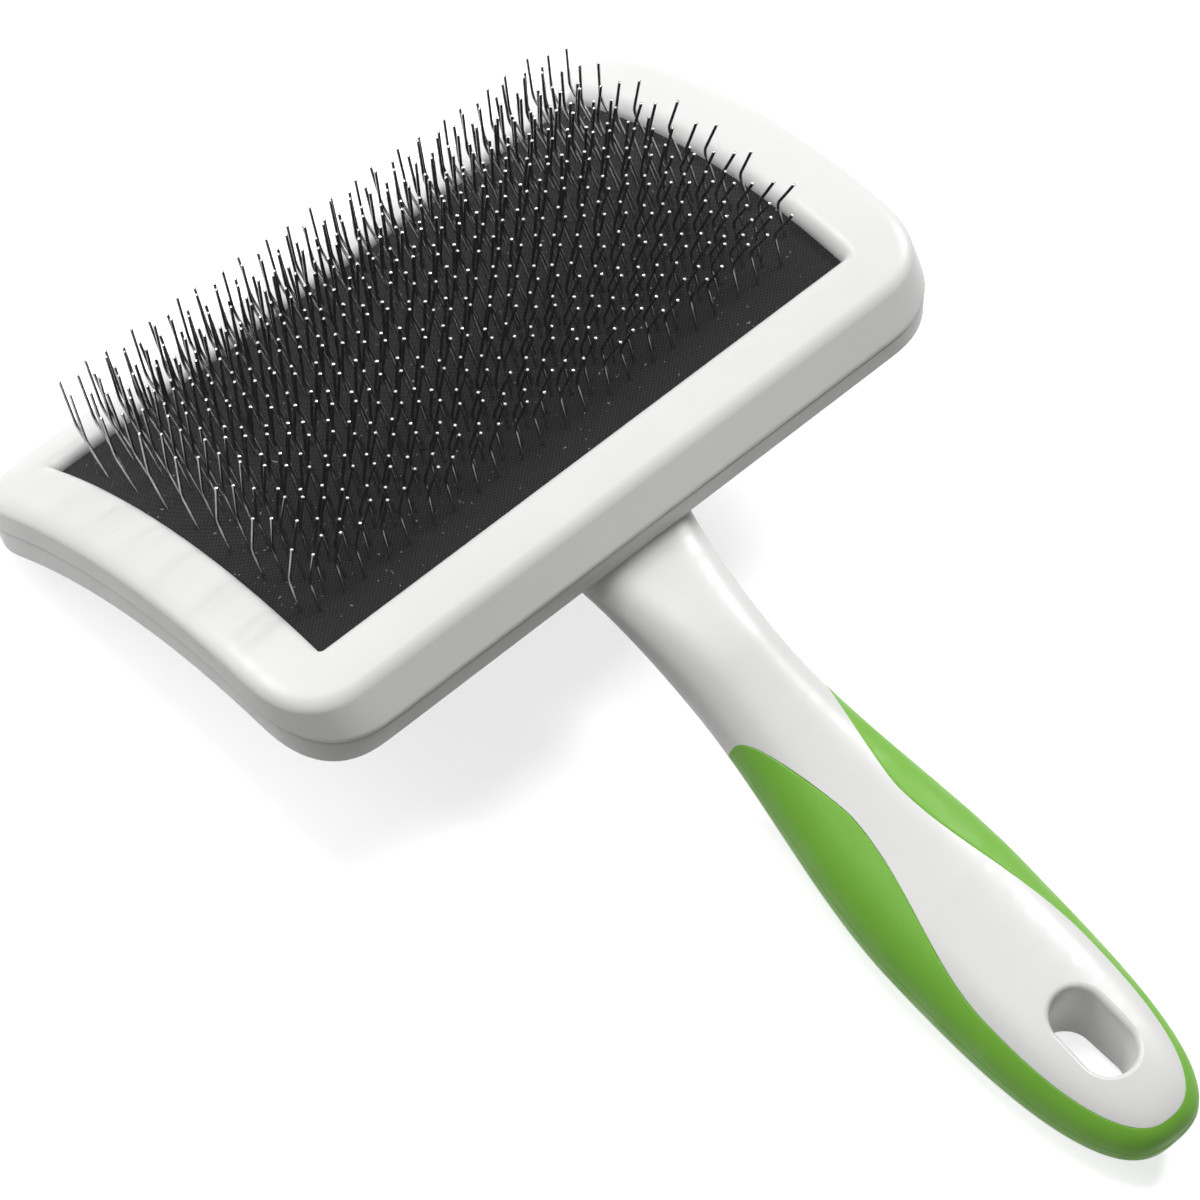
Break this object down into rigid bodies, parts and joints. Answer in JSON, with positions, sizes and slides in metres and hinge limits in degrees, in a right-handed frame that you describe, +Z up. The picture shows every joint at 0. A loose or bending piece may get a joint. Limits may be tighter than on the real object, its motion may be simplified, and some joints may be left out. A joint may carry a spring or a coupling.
{
  "type": "slicker brush",
  "caption": "Large slicker grooming brush: arched white head, black pad of bent wire staples, and a handle with a green soft grip and a hang slot.",
  "frame": {"origin": "centre of the bounding box's underside, where the brush lies on a table, pins up", "axes": "+X along the head's long side, -Y towards the handle's end, +Z up from the table"},
  "size_m": [0.116, 0.1752, 0.0449],
  "materials": {
    "white_plastic": "satin",
    "green_grip": "matte",
    "pad_cloth": "woven",
    "pad_rubber": "matte",
    "pad_foam": "matte",
    "wire": "dark drawn wire with polished tips"
  },
  "bodies": {
    "root": {"front_frame": "white_plastic", "back_and_handle": "white_plastic", "grip": "green_grip", "face_cloth": "pad_cloth", "rubber_ply": "pad_rubber", "foam_cushion": "pad_foam", "staple_row_01": "wire", "staple_row_02": "wire", "staple_row_03": "wire", "staple_row_04": "wire", "staple_row_05": "wire", "staple_row_06": "wire", "staple_row_07": "wire", "staple_row_08": "wire", "staple_row_09": "wire", "staple_row_10": "wire", "staple_row_11": "wire", "staple_row_12": "wire", "staple_row_13": "wire", "staple_row_14": "wire", "staple_row_15": "wire", "staple_row_16": "wire", "staple_row_17": "wire", "staple_row_18": "wire", "staple_row_19": "wire", "staple_row_20": "wire", "staple_row_21": "wire", "staple_row_22": "wire", "staple_row_23": "wire", "staple_row_24": "wire", "staple_row_25": "wire", "staple_row_26": "wire", "staple_row_27": "wire", "staple_row_28": "wire", "staple_row_29": "wire"}
  },
  "joints": []
}
